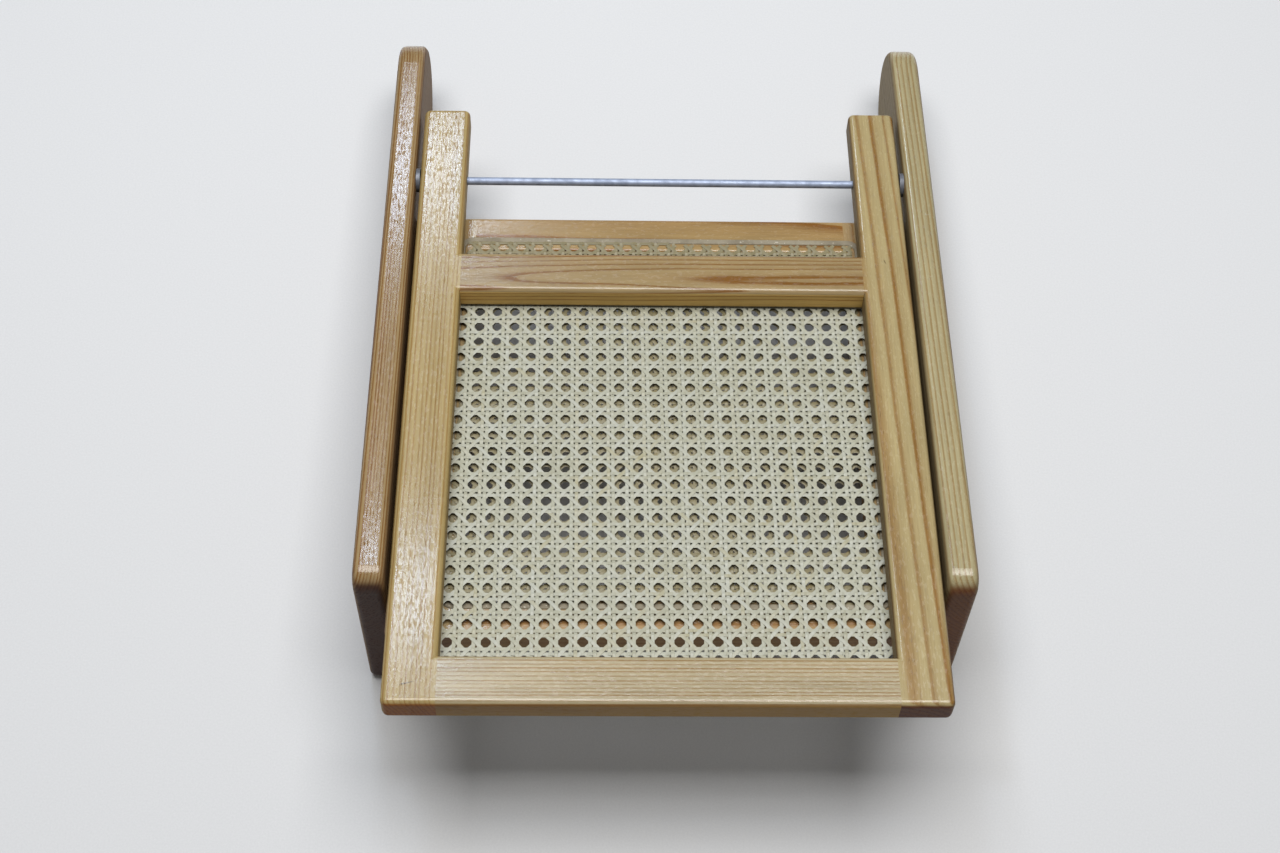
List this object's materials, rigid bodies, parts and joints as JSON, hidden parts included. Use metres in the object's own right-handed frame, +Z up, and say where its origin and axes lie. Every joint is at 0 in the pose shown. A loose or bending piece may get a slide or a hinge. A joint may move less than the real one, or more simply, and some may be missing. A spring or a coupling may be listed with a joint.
{
  "type": "magazine rack",
  "caption": "Folding magazine rack: two tapered wooden side boards carry a fixed caned panel, and a second caned panel swings open on a steel rod.",
  "frame": {"origin": "floor level, under the middle of the folded rack", "axes": "+X across the rack to the viewer's right, +Y along the panels toward the rounded board tips, +Z up; the rear edges of the side boards lie on Z = 0"},
  "size_m": [0.415, 0.5946, 0.1496],
  "materials": {
    "ash_boards": "satin clear-lacquered ash",
    "ash_front_frame": "satin clear-lacquered ash",
    "ash_rear_frame": "satin clear-lacquered ash",
    "dowel_wood": "plain turned hardwood",
    "cane_webbing": "natural woven cane, uncoloured",
    "cane_spline": "natural reed with dried glue",
    "zinc_steel": "zinc-plated steel"
  },
  "bodies": {
    "stand": {"left_side_board": "ash_boards", "right_side_board": "ash_boards", "rear_left_stile": "ash_rear_frame", "rear_right_stile": "ash_rear_frame", "rear_top_rail": "ash_rear_frame", "rear_bottom_rail": "ash_rear_frame", "rear_cane_panel": "cane_webbing", "rear_cane_spline": "cane_spline", "rear_frame_dowels": "dowel_wood", "left_mounting_dowels": "dowel_wood", "right_mounting_dowels": "dowel_wood", "pivot_rod": "zinc_steel", "left_pivot_washer": "zinc_steel", "right_pivot_washer": "zinc_steel"},
    "front_frame": {"front_left_stile": "ash_front_frame", "front_right_stile": "ash_front_frame", "front_top_rail": "ash_front_frame", "front_bottom_rail": "ash_front_frame", "front_cane_panel": "cane_webbing", "front_cane_spline": "cane_spline", "front_frame_dowels": "dowel_wood"}
  },
  "joints": [
    {"name": "front_frame_swing", "type": "hinge", "parent": "stand", "child": "front_frame", "pos_m": [0, 0.14392, 0.08902], "axis": [-1, 0, 0], "range_deg": [0, 110]}
  ]
}
